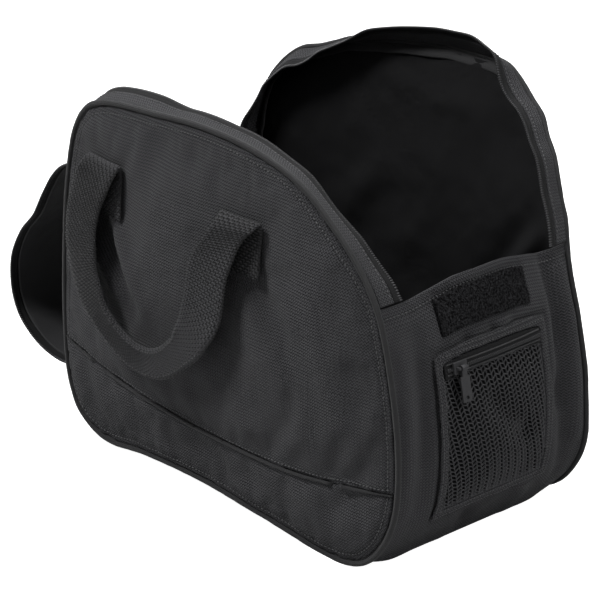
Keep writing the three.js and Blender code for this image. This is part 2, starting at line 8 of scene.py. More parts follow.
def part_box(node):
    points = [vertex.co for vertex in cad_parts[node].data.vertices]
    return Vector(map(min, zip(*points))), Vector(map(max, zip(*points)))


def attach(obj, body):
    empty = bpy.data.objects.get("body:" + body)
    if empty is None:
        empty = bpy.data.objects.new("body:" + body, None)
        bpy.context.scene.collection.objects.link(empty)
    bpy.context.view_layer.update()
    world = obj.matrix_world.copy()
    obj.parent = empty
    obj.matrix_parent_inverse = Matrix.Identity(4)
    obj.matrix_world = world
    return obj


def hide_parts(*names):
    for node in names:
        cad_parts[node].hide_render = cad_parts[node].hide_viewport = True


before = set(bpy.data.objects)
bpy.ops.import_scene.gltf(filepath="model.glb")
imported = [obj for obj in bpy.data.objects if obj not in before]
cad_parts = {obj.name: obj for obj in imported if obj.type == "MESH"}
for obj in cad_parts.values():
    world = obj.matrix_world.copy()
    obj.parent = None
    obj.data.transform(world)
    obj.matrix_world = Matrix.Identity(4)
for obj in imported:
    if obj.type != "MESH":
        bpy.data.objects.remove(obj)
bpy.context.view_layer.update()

# The studio: a pale floor that runs into white, soft boxes from both sides and above, and the
# camera where the photograph was taken from.
SHOT_TURN, SHOT_RISE = math.radians(47.976), math.radians(22.724)
SHOT_FROM = (1.56887, -1.43513, 1.03427)
SHOT_LENS, SHOT_SENSOR, SHOT_REACH = 175.22, 36, 50
WALL_WHITE = (1.0, 1.0, 1.0, 1)
WALL_GLOW = 0.16
FLOOR_WHITE = (0.5, 0.5, 0.5, 1)
FLOOR_HALF = 12
LAMPS_AIM = Vector((0, 0, 0.15))

camera = bpy.data.cameras.new("camera")
camera.lens = SHOT_LENS
camera.sensor_width = SHOT_SENSOR
camera.clip_end = SHOT_REACH
shot = bpy.data.objects.new("camera", camera)
back = Vector((
    math.sin(SHOT_TURN) * math.cos(SHOT_RISE),
    -math.cos(SHOT_TURN) * math.cos(SHOT_RISE),
    math.sin(SHOT_RISE),
))
right = Vector((math.cos(SHOT_TURN), math.sin(SHOT_TURN), 0))
turned = Matrix((right, back.cross(right), back)).transposed()
shot.matrix_world = Matrix.Translation(SHOT_FROM) @ turned.to_4x4()
bpy.context.scene.collection.objects.link(shot)
bpy.context.scene.camera = shot
bpy.context.scene.view_settings.view_transform = "Standard"

world = bpy.data.worlds.new("room")
world.use_nodes = True
walls = world.node_tree.nodes["Background"]
walls.inputs["Color"].default_value = WALL_WHITE
seen = world.node_tree.nodes.new("ShaderNodeLightPath")
glow = world.node_tree.nodes.new("ShaderNodeMapRange")
glow.inputs["To Min"].default_value = WALL_GLOW
world.node_tree.links.new(seen.outputs["Is Camera Ray"], glow.inputs["Value"])
world.node_tree.links.new(glow.outputs["Result"], walls.inputs["Strength"])
bpy.context.scene.world = world

for name, place, size, watts in (
    ("key_box", (-1.0, -1.3, 2.3), 0.7, 80),
    ("side_box", (2.0, 0.4, 2.0), 0.8, 33),
    ("top_box", (0.1, 0.3, 2.3), 1.2, 34),
    ("rim_box", (-1.6, 1.4, 1.6), 1.0, 16),
):
    lamp = bpy.data.lights.new(name, "AREA")
    lamp.size = size
    lamp.energy = watts
    box = bpy.data.objects.new(name, lamp)
    box.location = place
    box.rotation_euler = (Vector(place) - LAMPS_AIM).to_track_quat("Z", "Y").to_euler()
    bpy.context.scene.collection.objects.link(box)

floor_mesh = bpy.data.meshes.new("floor")
bm = bmesh.new()
bmesh.ops.create_grid(bm, x_segments=1, y_segments=1, size=FLOOR_HALF)
bm.to_mesh(floor_mesh)
bm.free()
floor = bpy.data.objects.new("floor", floor_mesh)
bpy.context.scene.collection.objects.link(floor)
paper = bpy.data.materials.new("studio_paper")
paper.use_nodes = True
coat = paper.node_tree.nodes["Principled BSDF"]
coat.inputs["Base Color"].default_value = FLOOR_WHITE
coat.inputs["Roughness"].default_value = 0.9
coat.inputs["Emission Color"].default_value = WALL_WHITE
seen = paper.node_tree.nodes.new("ShaderNodeLightPath")
paper.node_tree.links.new(seen.outputs["Is Camera Ray"], coat.inputs["Emission Strength"])
floor_mesh.materials.append(paper)

# Outer cloth: a heavy black polyester in a basket weave, faded in soft patches, with painted
# highlight on its raised threads and painted shade between them. Its weave follows each piece's
# own UV map, which is in metres.
THREAD = 0.0025
STRAY, STRAY_SCALE = 0.0008, 240
FADE_SCALE, FADE_SHARE, FADE_LEAST = 9, 0.5, 0.08
# Colour is painted lighter above this height and darker below it: painted highlight on raised
# threads, painted shade between them.
MEAN_HEIGHT = 0.6
CLOTH_BLACK = (0.0245, 0.0245, 0.0266, 1)
LINING_BLACK = (0.0085, 0.0085, 0.009, 1)


def wire(tree, kind, **given):
    """A new node with the settings given."""
    node = tree.nodes.new(kind)
    for name, value in given.items():
        setattr(node, name, value)
    return node


def reckon(tree, operation, *values):
    """The result of a Math node on numbers and other nodes' outputs."""
    node = wire(tree, "ShaderNodeMath", operation=operation)
    for socket, value in zip(node.inputs, values):
        if isinstance(value, (int, float)):
            socket.default_value = value
        else:
            tree.links.new(value, socket)
    return node.outputs[0]


def new_group(name, inputs, outputs):
    """An empty node group with named sockets, its way in and its way out."""
    group = bpy.data.node_groups.new(name, "ShaderNodeTree")
    for in_out, sockets in (("INPUT", inputs), ("OUTPUT", outputs)):
        for label, kind in sockets.items():
            group.interface.new_socket(label, in_out=in_out, socket_type="NodeSocket" + kind)
    return group, wire(group, "NodeGroupInput"), wire(group, "NodeGroupOutput")


def grain(tree, scale, detail=2):
    """Noise over the object's own coordinates."""
    where = wire(tree, "ShaderNodeTexCoord")
    specks = wire(tree, "ShaderNodeTexNoise")
    specks.inputs["Scale"].default_value = scale
    specks.inputs["Detail"].default_value = detail
    tree.links.new(where.outputs["Object"], specks.inputs["Vector"])
    return specks.outputs["Fac"]


def basket_weave():
    """How high the cloth stands, from 0 to 1, by its UVs and the width of a thread."""
    group, start, end = new_group(
        "basket_weave", {"Vector": "Vector", "Thread": "Float"}, {"Height": "Float"}
    )
    uneven = wire(group, "ShaderNodeTexNoise")
    uneven.inputs["Scale"].default_value = STRAY_SCALE
    group.links.new(start.outputs["Vector"], uneven.inputs["Vector"])
    stray = wire(group, "ShaderNodeVectorMath", operation="SCALE")
    stray.inputs["Scale"].default_value = STRAY
    group.links.new(uneven.outputs["Color"], stray.inputs[0])
    astray = wire(group, "ShaderNodeVectorMath", operation="ADD")
    group.links.new(start.outputs["Vector"], astray.inputs[0])
    group.links.new(stray.outputs[0], astray.inputs[1])
    split = wire(group, "ShaderNodeSeparateXYZ")
    group.links.new(astray.outputs[0], split.inputs[0])
    along = reckon(group, "DIVIDE", split.outputs[0], start.outputs["Thread"])
    across = reckon(group, "DIVIDE", split.outputs[1], start.outputs["Thread"])
    warp, weft = [
        reckon(group, "ABSOLUTE", reckon(group, "SINE", reckon(group, "MULTIPLY", way, math.pi)))
        for way in (along, across)
    ]
    turn = reckon(group, "ADD", reckon(group, "FLOOR", along), reckon(group, "FLOOR", across))
    over = reckon(group, "PINGPONG", turn, 1.0)
    under = reckon(group, "SUBTRACT", 1.0, over)
    warp_shown = reckon(group, "MULTIPLY", warp, over)
    weft_shown = reckon(group, "MULTIPLY", weft, under)
    group.links.new(reckon(group, "ADD", warp_shown, weft_shown), end.inputs["Height"])
    return group


def fade_and_painted_weave_shade():
    """A colour faded in soft patches, painted lighter where the height is above its mean and darker
    where it is below: painted highlight on raised threads and painted shade between them.
    """
    group, start, end = new_group(
        "fade_and_painted_weave_shade",
        {"Colour": "Color", "Height": "Float", "Contrast": "Float"},
        {"Colour": "Color"},
    )
    patches = grain(group, FADE_SCALE, 4)
    soft = reckon(group, "MULTIPLY_ADD", patches, FADE_SHARE, 1 - FADE_SHARE / 2)
    # Painted light: the colour goes lighter where the height stands above its mean and darker below
    # it, a painted highlight on raised threads and painted shade between them.
    above = reckon(group, "SUBTRACT", start.outputs["Height"], MEAN_HEIGHT)
    lighter = reckon(group, "MULTIPLY", above, start.outputs["Contrast"])
    level = reckon(group, "MAXIMUM", reckon(group, "ADD", soft, lighter), FADE_LEAST)
    shade = wire(group, "ShaderNodeVectorMath", operation="SCALE")
    group.links.new(start.outputs["Colour"], shade.inputs[0])
    group.links.new(level, shade.inputs["Scale"])
    group.links.new(shade.outputs[0], end.inputs["Colour"])
    return group


WEAVE = basket_weave()
WEAVE_SHADE_AND_FADE = fade_and_painted_weave_shade()


def bare(name):
    """A new material, its node tree and its shader."""
    material = bpy.data.materials.new(name)
    material.use_nodes = True
    return material, material.node_tree, material.node_tree.nodes["Principled BSDF"]


def tinted(tree, shader, colour, contrast, height):
    """The shader takes a faded colour with painted light and shade, whose contrast follows the
    height.
    """
    fade_and_shade = wire(tree, "ShaderNodeGroup", node_tree=WEAVE_SHADE_AND_FADE)
    fade_and_shade.inputs["Colour"].default_value = colour
    fade_and_shade.inputs["Contrast"].default_value = contrast
    tree.links.new(height, fade_and_shade.inputs["Height"])
    tree.links.new(fade_and_shade.outputs["Colour"], shader.inputs["Base Color"])


def raised(tree, shader, height, depth, strength=1.0):
    """The shader's surface stands up with the height."""
    bump = wire(tree, "ShaderNodeBump")
    bump.inputs["Strength"].default_value = strength
    bump.inputs["Distance"].default_value = depth
    tree.links.new(height, bump.inputs["Height"])
    tree.links.new(bump.outputs["Normal"], shader.inputs["Normal"])


def woven(name, colour, thread, depth, contrast=0.5, roughness=0.85, sheen=0.05, shine=0.15):
    """A woven cloth: its threads' width and height in metres, the contrast of the light and shade
    painted on its threads, and its finish.
    """
    material, tree, shader = bare(name)
    where = wire(tree, "ShaderNodeUVMap")
    weave = wire(tree, "ShaderNodeGroup", node_tree=WEAVE)
    weave.inputs["Thread"].default_value = thread
    tree.links.new(where.outputs["UV"], weave.inputs["Vector"])
    tinted(tree, shader, colour, contrast, weave.outputs["Height"])
    raised(tree, shader, weave.outputs["Height"], depth, 0.9)
    shader.inputs["Roughness"].default_value = roughness
    shader.inputs["Sheen Weight"].default_value = sheen
    shader.inputs["Sheen Roughness"].default_value = 0.45
    shader.inputs["Specular IOR Level"].default_value = shine
    return material


outer_cloth = woven("outer_cloth", CLOTH_BLACK, THREAD, 0.0009, 2.4)
lining = woven("lining", LINING_BLACK, 0.0007, 0.0001, 0.3, 0.8, 0.0, 0.06)

# Panels: two D-shaped pads of cloth over thin foam, crowned a little, with a seam across the front
# one below the middle. Each is worked from its CAD solid: relaxed into one skin, let settle as
# slack cloth, and creased where the handle pulls on it.
PANEL_LOOP = 0.0022
RELAXING = 10
RIM_HELD, RIM_SEWN = 0.004, 0.009
SEAM_SHARE = 0.35
SLACK_LOOP = 0.0045
STUFFING = 1.0
SPARE = 0.010
SETTLING = 16
SETTLE_CAP = 0.005
SHARED_BY = 6
RIM_STITCH, STITCH_GROOVE = 0.008, 0.0016
SECTION_STEP = 0.0042
RINGS_CENTRE = 0.154
SOLIDS_APART = 0.0009
HANDLE_ENDS, HANDLE_HALF = (-0.124, 0.040), 0.025
HANDLE_SEWN = (0.205, 0.26)
CREASES = (
    # from x, z, to x, z, depth, width, all in metres; below zero the cloth sinks
    ("handle pull", -0.143, 0.218, -0.088, 0.146, -0.0085, 0.0100),
    ("handle ridge", -0.122, 0.216, -0.070, 0.150, 0.0045, 0.0110),
    ("second ridge", -0.150, 0.200, -0.107, 0.150, 0.0035, 0.008),
    ("left bay", -0.165, 0.250, -0.150, 0.170, -0.0040, 0.014),
    ("top slack", -0.090, 0.283, 0.060, 0.287, -0.0018, 0.012),
    ("right anchor", 0.052, 0.215, 0.090, 0.165, -0.0034, 0.014),
    ("middle bay", -0.020, 0.205, 0.030, 0.150, -0.0030, 0.022),
    ("right bay", 0.110, 0.190, 0.150, 0.120, 0.0024, 0.016),
    ("lower sag", -0.100, 0.090, 0.060, 0.082, 0.0024, 0.016),
    ("lower hollow", -0.080, 0.045, 0.070, 0.040, -0.0020, 0.014),
    ("corner tuck", 0.140, 0.050, 0.165, 0.090, -0.0028, 0.009),
    ("base tuck", -0.150, 0.030, -0.165, 0.075, -0.0024, 0.010),
)


def piece(name, mesh, *materials):
    """An object in the scene for a finished mesh."""
    made = bpy.data.objects.new(name, mesh)
    bpy.context.scene.collection.objects.link(made)
    for material in materials:
        mesh.materials.append(material)
    for face in mesh.polygons:
        face.use_smooth = True
    return made


def finished(name, work, *materials):
    """The piece that a bmesh makes."""
    mesh = bpy.data.meshes.new(name)
    work.to_mesh(mesh)
    work.free()
    return piece(name, mesh, *materials)


def merged(node):
    """A CAD solid's mesh with its loose triangles joined."""
    loose = bmesh.new()
    loose.from_mesh(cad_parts[node].data)
    bmesh.ops.remove_doubles(loose, verts=loose.verts, dist=2e-6)
    return loose


def between(a, b, c, d, t):
    """The point at the share t from b to c, on the smooth line through four points."""
    bend = (2 * a - 5 * b + 4 * c - d) * t * t
    return 0.5 * (2 * b + (c - a) * t + bend + (3 * b - a - 3 * c + d) * t ** 3)


def curve_at(points, place, closed=False):
    """A point on the smooth line through a list of points; place runs from 0 to 1."""
    count = len(points)
    spans = count if closed else count - 1
    at = min(max(place, 0), 1) * spans
    i = min(int(at), spans - 1)
    if closed:
        around = [points[k % count] for k in range(i - 1, i + 3)]
    else:
        around = [points[min(max(k, 0), count - 1)] for k in range(i - 1, i + 3)]
    return between(*around, at - i)


def ring_middles(node):
    """The middles of a CAD ring's sections, in order round the panel."""
    loose = merged(node)
    left = set(loose.verts)
    middles = []
    while left:
        section = [left.pop()]
        for vert in section:
            for edge in vert.link_edges:
                other = edge.other_vert(vert)
                if other in left and edge.calc_length() < SECTION_STEP:
                    left.discard(other)
                    section.append(other)
        middles.append(sum((vert.co for vert in section), Vector()) / len(section))
    loose.free()
    middles.sort(key=lambda p: math.atan2(p.z - RINGS_CENTRE, p.x))
    return middles


def relaxed(node, loop, rounds, held=None):
    """A CAD solid as one even skin of small quads, its facets eased out where it isn't held."""
    rough_mesh = bpy.data.meshes.new(node + "_rough")
    loose = merged(node)
    loose.to_mesh(rough_mesh)
    loose.free()
    rough = bpy.data.objects.new(node + "_rough", rough_mesh)
    bpy.context.scene.collection.objects.link(rough)
    even = rough.modifiers.new("even", "REMESH")
    even.mode = "VOXEL"
    even.voxel_size = loop
    depsgraph = bpy.context.evaluated_depsgraph_get()
    skin = bpy.data.meshes.new_from_object(rough.evaluated_get(depsgraph))
    work = bmesh.new()
    work.from_mesh(skin)
    bpy.data.objects.remove(rough)
    bpy.data.meshes.remove(rough_mesh)
    bpy.data.meshes.remove(skin)
    free = [v for v in work.verts if not (held and held(v.co))]
    for _ in range(rounds):
        bmesh.ops.smooth_vert(
            work, verts=free, factor=0.5, use_axis_x=True, use_axis_y=True, use_axis_z=True
        )
    work.normal_update()
    return work


def lay_weave(work, slots=None):
    """UVs in metres, seen square on from whichever side each face looks to."""
    layer = work.loops.layers.uv.new("weave")
    for face in work.faces:
        n = face.normal
        if slots:
            face.material_index = slots(face)
        for corner in face.loops:
            x, y, z = corner.vert.co
            if abs(n.y) > 0.5:
                corner[layer].uv = (x + z, z - x)
            elif abs(n.x) > abs(n.z):
                corner[layer].uv = (y + z, z - y)
            else:
                corner[layer].uv = (y + x, x - y)


def line_fall(across, up, across0, up0, across1, up1, width):
    """How far along a fold's line a point lies, and how much of the fold it still feels."""
    run = Vector((across1 - across0, up1 - up0))
    along = Vector((across - across0, up - up0)).dot(run) / run.length_squared
    along = max(0, min(1, along))
    off = math.hypot(across - across0 - run.x * along, up - up0 - run.y * along) / width
    return along, math.exp(-off * off)


def creased(x, z, rim, seam_off):
    """How far a panel's cloth stands out, by its place and how far off its edges are."""
    push = -0.0009 * math.exp(-((rim - RIM_STITCH) / STITCH_GROOVE) ** 2)
    pucker = noise.noise(Vector((x * 150, 1.7, z * 150)))
    push += 0.0007 * math.exp(-((rim - 0.015) / 0.006) ** 2) * pucker
    for _, x0, z0, x1, z1, depth, width in CREASES:
        along, fall = line_fall(x, z, x0, z0, x1, z1, width)
        push += depth * (0.35 + 0.65 * math.sin(math.pi * (0.12 + 0.76 * along))) * fall
    push += 0.0024 * noise.noise(Vector((x * 20, 3.1, z * 20)))
    push += 0.0008 * noise.noise(Vector((x * 60, 8.7, z * 60)))
    return push * min(1, rim / 0.012, seam_off / 0.007)


def finder(points):
    """A finder of the nearest of many points."""
    tree = kdtree.KDTree(len(points))
    for i, point in enumerate(points):
        tree.insert(point, i)
    tree.balance()
    return tree


def square_on(point):
    """A point as it is seen square on to the panels."""
    return (point.x, 0, point.z)


def seam_line():
    """The line of the cross seam, on the outer side of where the front's two solids meet."""
    upper, lower = merged("front_panel"), merged("front_lower_panel")
    near_upper = finder([vert.co for vert in upper.verts])
    outer_side = {}
    for vert in lower.verts:
        key = round(vert.co.x, 3)
        if near_upper.find(vert.co)[2] < SOLIDS_APART:
            if key not in outer_side or vert.co.y < outer_side[key].y:
                outer_side[key] = vert.co.copy()
    upper.free()
    lower.free()
    return [outer_side[key] for key in sorted(outer_side)]


def settled(name, held):
    """How a coarse copy of a panel settles as slack cloth under light stuffing: points, shifts."""
    work = relaxed(name, SLACK_LOOP, 4)
    mesh = bpy.data.meshes.new(name + "_slack")
    work.to_mesh(mesh)
    cloth = bpy.data.objects.new(name + "_slack", mesh)
    bpy.context.scene.collection.objects.link(cloth)
    pinned = cloth.vertex_groups.new(name="held")
    pinned.add([v.index for v in work.verts if held(v)], 1.0, "REPLACE")
    sim = cloth.modifiers.new("slack", "CLOTH")
    sim.settings.quality = 4
    sim.settings.use_pressure = True
    sim.settings.uniform_pressure_force = STUFFING
    sim.settings.shrink_min = -SPARE
    sim.settings.bending_stiffness = 2.5
    sim.settings.vertex_group_mass = "held"
    sim.settings.effector_weights.gravity = 0
    sim.point_cache.frame_start, sim.point_cache.frame_end = 1, SETTLING
    for step in range(1, SETTLING + 1):
        bpy.context.scene.frame_set(step)
    moved = cloth.evaluated_get(bpy.context.evaluated_depsgraph_get()).data
    shifts = []
    for vert, after in zip(work.verts, moved.vertices):
        shift = after.co - vert.co
        if shift.length > SETTLE_CAP:
            shift = shift.normalized() * SETTLE_CAP
        shifts.append(shift)
    near = finder([vert.co for vert in work.verts])
    work.free()
    bpy.context.scene.frame_set(1)
    bpy.data.objects.remove(cloth)
    bpy.data.meshes.remove(mesh)
    return near, shifts


def shared_shift(near, shifts, co):
    """The settled cloth's shift at a point, blended from the nearest coarse points."""
    total, weights = Vector(), 0.0
    for _, i, off in near.find_n(co, SHARED_BY):
        weight = 1 / (off + 0.001) ** 2
        total += shifts[i] * weight
        weights += weight
    return total / weights


seam = seam_line()
rings = {side: ring_middles(node) for node, side in (("front_piping", -1), ("back_piping", 1))}
lines = {
    side: [curve_at(ring, i / 1400, True) for i in range(1400)] for side, ring in rings.items()
}
cross = finder([square_on(curve_at(seam, i / 600)) for i in range(601)])
skins = {}
for name, side in (("front_panel", -1), ("front_lower_panel", -1), ("back_panel", 1)):
    edge = finder([square_on(point) for point in lines[side]])

    def near_edge(co, reach):
        flat = square_on(co)
        near_seam = side < 0 and cross.find(flat)[2] < reach * SEAM_SHARE
        return edge.find(flat)[2] < reach or near_seam

    def sewn(vert):
        beside = min(abs(vert.co.x - end) for end in HANDLE_ENDS) < HANDLE_HALF
        under_handle = beside and HANDLE_SEWN[0] < vert.co.z < HANDLE_SEWN[1]
        return near_edge(vert.co, RIM_SEWN) or side * vert.normal.y < 0.3 or under_handle

    work = relaxed(name, PANEL_LOOP, RELAXING, lambda co: near_edge(co, RIM_HELD))
    coarse, shifts = settled(name, sewn)
    for vert in work.verts:
        if not near_edge(vert.co, RIM_HELD):
            vert.co += shared_shift(coarse, shifts, vert.co)
    for vert in work.verts:
        flat = square_on(vert.co)
        seam_off = cross.find(flat)[2] if side < 0 else 1
        vert.co.y += side * creased(side * -vert.co.x, vert.co.z, edge.find(flat)[2], seam_off)
    work.normal_update()
    lay_weave(work, lambda face: 0 if side * face.normal.y > -0.35 else 1)
    skins[name] = bvhtree.BVHTree.FromBMesh(work)
    pad = finished(name + "_pad", work, outer_cloth, lining)
    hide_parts(name)
    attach(pad, "bag")

# Piping: a cord wrapped in bias-cut cloth and sewn into the edge of each panel, all the way round.
# It keeps the edge of the soft panel round and takes the rubbing.
PIPING_THICK = 0.0024
PIPING_UNEVEN = 0.0002
PIPING_BLACK = (0.017, 0.017, 0.018, 1)
WELD = 1e-5
piping_cloth = woven("piping_cloth", PIPING_BLACK, 0.0009, 0.0002, 0.4, 0.7, 0.08, 0.2)


def bent_grid(name, along, across, laid, placed, *materials, weld=0, capped=False):
    """A grid whose UVs are laid and whose points are placed by the shares along and across it.

    A weld closes it into a tube, and capped closes the tube's ends.
    """
    work = bmesh.new()
    bmesh.ops.create_grid(work, x_segments=along, y_segments=across, size=0.5)
    layer = work.loops.layers.uv.new("weave")
    for face in work.faces:
        for corner in face.loops:
            corner[layer].uv = laid(corner.vert.co.x + 0.5, corner.vert.co.y + 0.5)
    for vert in work.verts:
        vert.co = placed(vert.co.x + 0.5, vert.co.y + 0.5)
    if weld:
        bmesh.ops.remove_doubles(work, verts=work.verts, dist=weld)
    if capped:
        bmesh.ops.holes_fill(work, edges=[e for e in work.edges if e.is_boundary])
    if weld:
        bmesh.ops.recalc_face_normals(work, faces=work.faces)
    return finished(name, work, *materials)


def way_round(points, u, reach):
    """Which way a closed line runs at the share u."""
    ahead, behind = curve_at(points, (u + reach) % 1, True), curve_at(points, (u - reach) % 1, True)
    return (ahead - behind).normalized()


for node, side in (("front_piping", -1), ("back_piping", 1)):
    ring = rings[side]
    length = sum((ring[i] - ring[i - 1]).length for i in range(len(ring)))

    def laid_bias(u, v):
        return u * length + v * PIPING_THICK, v * PIPING_THICK * 6 - u * length

    def wrapped(u, v):
        middle = curve_at(ring, u, True)
        run = way_round(ring, u, 0.002)
        out = run.cross(Vector((0, 1, 0))).normalized()
        turn = 2 * math.pi * v
        thick = PIPING_THICK + PIPING_UNEVEN * noise.noise(middle * 160)
        return middle + thick * (math.cos(turn) * out + math.sin(turn) * out.cross(run))

    cord = bent_grid(node + "_cord", 480, 10, laid_bias, wrapped, piping_cloth, weld=WELD)
    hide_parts(node)
    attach(cord, "bag")

# Gusset: one long strip of the outer cloth that makes the hinge end, the base and the pocket end.
# It is lined, hemmed at its top edge, and stands in soft upright folds beside the pocket.
HEM_TURN, HEM_STEP = 0.009, 0.0025
HEM_START = (0.173, 0, 0.2175)
GUSSET_WALL = 0.0026
FOLD_DEPTH = 1.5
PRESSED = 0.0008
FOLDS = (
    # from y, z, to y, z, depth, width, in metres, on the pocket end
    ("side fold", 0.070, 0.214, 0.075, 0.150, -0.0055, 0.008),
    ("side fold, middle", 0.074, 0.160, 0.071, 0.100, -0.0050, 0.008),
    ("side fold, lower", 0.071, 0.110, 0.080, 0.040, -0.0045, 0.009),
    ("side swell", 0.086, 0.200, 0.089, 0.070, 0.0026, 0.008),
    ("patch pucker", -0.004, 0.186, 0.006, 0.165, -0.0020, 0.004),
    ("patch swell", 0.010, 0.186, 0.014, 0.170, 0.0014, 0.005),
    ("second pucker", -0.030, 0.184, -0.024, 0.168, -0.0018, 0.005),
    ("corner pull", -0.074, 0.190, -0.080, 0.060, -0.0040, 0.009),
    ("corner swell", -0.089, 0.180, -0.092, 0.060, 0.0018, 0.007),
    ("under pocket", -0.020, 0.037, -0.009, 0.016, -0.0028, 0.008),
    ("under pocket, right", 0.034, 0.046, 0.044, 0.018, 0.0024, 0.009),
)


def strip_rows(node, columns, start, flat, pull=0.02):
    """A CAD strip as rows of (middle point, wall) from its end at start, across by columns.

    The distance along the strip's flat axis counts by pull alone when its end is looked for.
    """
    loose = merged(node)
    size = 2 * (columns + 1)
    start = Vector(start)
    keep = Vector([pull if i == flat else 1 for i in range(3)])
    left = sorted(loose.verts, key=lambda v: ((v.co - start) * keep).length)
    level, left = left[:size], set(left[size:])
    levels = [level]
    while left:
        level = {edge.other_vert(v) for v in level for edge in v.link_edges} & left
        if len(level) != size:
            raise RuntimeError(f"{node}: a row has {len(level)} points, not {size}")
        left -= level
        levels.append(list(level))
    points = [v.co for v in levels[0]]
    side = max((a - b for a in points for b in points), key=lambda d: d.length).normalized()
    if side[flat] < 0:
        side = -side
    rows = []
    for level in levels:
        spots = sorted((v.co.copy() for v in level), key=lambda p: p.dot(side))
        pairs = [(spots[2 * k], spots[2 * k + 1]) for k in range(columns + 1)]
        rows.append([((a + b) / 2, (a - b).length) for a, b in pairs])
        side = (rows[-1][-1][0] - rows[-1][0][0]).normalized()
    loose.free()
    return rows


def even_rows(rows, count):
    """The rows again at equal steps along the strip, and the strip's length."""
    columns = len(rows[0])
    middle = [sum((point for point, _ in row), Vector()) / columns for row in rows]
    steps = [0]
    for a, b in zip(middle, middle[1:]):
        steps.append(steps[-1] + (b - a).length)
    points = [[row[k][0] for row in rows] for k in range(columns)]
    walls = [[Vector((row[k][1], 0, 0)) for row in rows] for k in range(columns)]
    spaced = []
    i = 0
    for n in range(count):
        want = steps[-1] * n / (count - 1)
        while i < len(steps) - 2 and steps[i + 1] < want:
            i += 1
        share = i + (want - steps[i]) / max(steps[i + 1] - steps[i], 1e-9)
        share /= len(rows) - 1
        row = [(curve_at(points[k], share), curve_at(walls[k], share).x) for k in range(columns)]
        spaced.append(row)
    return spaced, steps[-1]


def strip_at(rows, u, v):
    """The point of a strip at shares u along and v across."""
    last = len(rows) - 1
    at = min(max(u, 0), 1) * last
    i = min(int(at), last - 1)
    around = [rows[min(max(k, 0), last)] for k in range(i - 1, i + 3)]
    return between(*[curve_at([point for point, _ in row], v) for row in around], at - i)


def strip_frame(rows, u, v):
    """The point, the run, the way across and the normal of a strip at u, v."""
    run = strip_at(rows, u + 0.004, v) - strip_at(rows, u - 0.004, v)
    side = strip_at(rows, u, min(v + 0.02, 1)) - strip_at(rows, u, max(v - 0.02, 0))
    normal = run.cross(side).normalized()
    return strip_at(rows, u, v), run.normalized(), side.normalized(), normal


def cloth_strip(name, rows, length, width, along, across, wall, press, *materials):
    """A strip of cloth: a grid bent to the rows, pressed out of flat, with a wall of its own."""
    def laid_square(u, v):
        return u * length + v * width, v * width - u * length

    def pressed(u, v):
        point, _, _, normal = strip_frame(rows, u, v)
        return point + normal * press(point, u, v)

    made = bent_grid(name, along, across, laid_square, pressed, *materials)
    thick = made.modifiers.new("wall", "SOLIDIFY")
    thick.thickness = wall
    thick.offset = 0
    thick.material_offset = len(materials) - 1
    return made


gusset_rows, gusset_length = even_rows(strip_rows("gusset", 8, HEM_START, 1), 90)
point, _, _, normal = strip_frame(gusset_rows, 0.1, 0.5)
GUSSET_OUT = 1 if normal.dot(point - Vector((0, point.y, 0.12))) > 0 else -1
laid_on = [[Vector(corner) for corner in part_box(node)] for node in ("pocket_binding", "loop_patch")]


def folded(point, u, v):
    """How far the gusset's cloth stands out: folded beside the pocket, pressed in under what is
    laid on it, stepped at its hem and flat on the base."""
    push = 0.0016 * noise.noise(point * 24) + 0.0005 * noise.noise(point * 80)
    if point.x > 0.14:
        for _, y0, z0, y1, z1, depth, width in FOLDS:
            along, fall = line_fall(point.y, point.z, y0, z0, y1, z1, width)
            swell = 0.3 + 0.7 * math.sin(math.pi * (0.1 + 0.8 * along))
            push += FOLD_DEPTH * depth * swell * fall
        for low, high in laid_on:
            if low.y < point.y < high.y and low.z < point.z < high.z:
                push = min(push, 0) - PRESSED
    push *= min(1, min(v, 1 - v) / 0.03)
    down = u * gusset_length
    if down < HEM_TURN:
        push += 0.0003
    elif down < HEM_TURN + HEM_STEP:
        push -= 0.0004
    if point.z < 0.004:
        push = 0
    return GUSSET_OUT * push


faces = (outer_cloth, lining) if GUSSET_OUT > 0 else (lining, outer_cloth)
gusset = cloth_strip(
    "gusset_cloth", gusset_rows, gusset_length, 0.2, 340, 90, GUSSET_WALL, folded, *faces
)
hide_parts("gusset")
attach(gusset, "bag")

# Stitches: runs of thick black thread, each stitch a small bead sunk into the cloth. One line
# goes round each panel, just inside its piping.
THREAD_BLACK = (0.056, 0.056, 0.058, 1)
PANEL_STITCH, PANEL_PITCH = (0.0029, 0.0011, 0.0011), 0.0038
FINE_STITCH, FINE_PITCH = (0.0024, 0.0009, 0.0009), 0.0034
FRONT_AWAY, BACK_AWAY, END_AWAY = Vector((0, -1, 0)), Vector((0, 1, 0)), Vector((1, 0, 0))
thread = woven("thread", THREAD_BLACK, 0.0004, 0.00005, 0.3, 0.5, 0.1, 0.3)


def beads(name, frames, size, material, shift=0.0):
    """A row of small beads: each frame is a point, the way along, across and out."""
    work = bmesh.new()
    for point, run, side, out in frames:
        turn = Matrix((run, side, out)).transposed().to_4x4()
        shape = Matrix.Diagonal((size[0], size[1], size[2], 1))
        at = Matrix.Translation(point + out * shift)
        bmesh.ops.create_icosphere(work, subdivisions=1, radius=0.5, matrix=at @ turn @ shape)
    work.loops.layers.uv.new("weave")
    bmesh.ops.recalc_face_normals(work, faces=work.faces)
    made = finished(name, work, material)
    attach(made, "bag")
    return made


def row_along(rows, start, end, count, v):
    """Frames at equal steps along a strip, at the share v across it."""
    return [strip_frame(rows, start + (end - start) * (i + 0.5) / count, v) for i in range(count)]


def on_skin(trees, away, point):
    """Where a line back along away meets the outermost of the skins, and the way it looks."""
    hits = [tree.ray_cast(point + away * 0.3, -away) for tree in trees]
    hits = [hit for hit in hits if hit[0]]
    return max(hits, key=lambda hit: hit[0].dot(away))[:2] if hits else None


